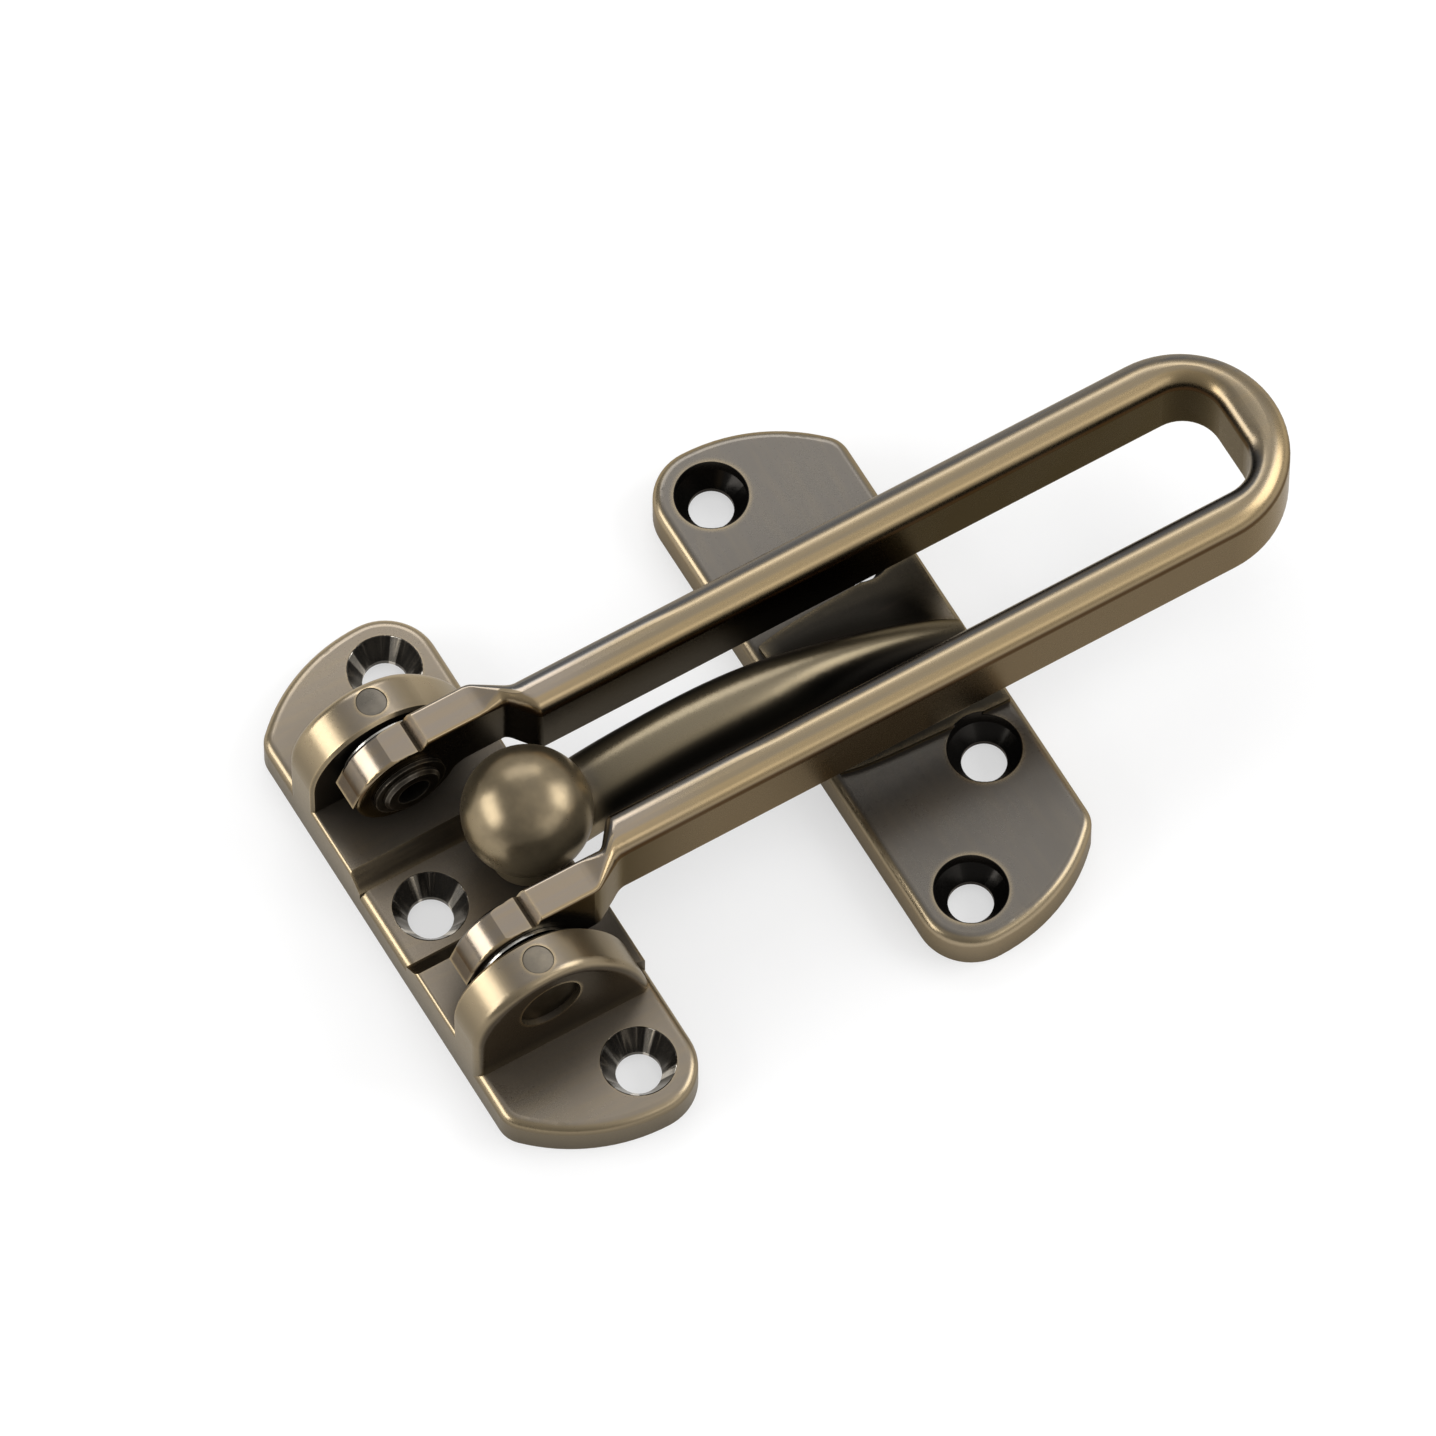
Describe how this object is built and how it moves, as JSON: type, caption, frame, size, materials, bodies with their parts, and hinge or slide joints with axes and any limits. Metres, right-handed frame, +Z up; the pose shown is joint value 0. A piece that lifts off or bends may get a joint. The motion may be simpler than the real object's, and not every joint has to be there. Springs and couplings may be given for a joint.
{
  "type": "swing bar door guard",
  "caption": "Swing-bar door guard: a hinged slotted arm on a frame plate, and a keeper plate with a ball on a curved horn that the arm folds over.",
  "frame": {"origin": "middle of the frame plate's mounting face, on the plane through the arm's middle", "axes": "+X from the hinge toward the closed end of the arm when it lies over the keeper, +Y along the pivot axis, +Z up from the mounting faces"},
  "size_m": [0.1113, 0.0682, 0.0222],
  "materials": {
    "frame_plate": "die-cast, satin antique brass with worn golden edges",
    "swing_arm": "die-cast, satin antique brass with worn golden edges",
    "keeper_plate": "die-cast, satin antique brass with worn golden edges",
    "pivot_pin_back": "dark plated rivet",
    "pivot_pin_front": "dark plated rivet",
    "locking_pin_back": "dark plated pin",
    "locking_pin_front": "dark plated pin",
    "spring_washer_back": "bright spring steel",
    "spring_washer_front": "bright spring steel",
    "rivet_washer_back": "dark plated washer",
    "rivet_washer_front": "dark plated washer"
  },
  "bodies": {
    "plates": {"frame_plate": "frame_plate", "keeper_plate": "keeper_plate", "pivot_pin_back": "pivot_pin_back", "pivot_pin_front": "pivot_pin_front", "locking_pin_back": "locking_pin_back", "locking_pin_front": "locking_pin_front", "spring_washer_back": "spring_washer_back", "spring_washer_front": "spring_washer_front", "rivet_washer_back": "rivet_washer_back", "rivet_washer_front": "rivet_washer_front"},
    "arm": {"swing_arm": "swing_arm"}
  },
  "joints": [
    {"name": "arm_swing", "type": "hinge", "parent": "plates", "child": "arm", "pos_m": [-0.002, 0, 0.0133], "axis": [0, -1, 0], "range_deg": [0, 170]}
  ]
}
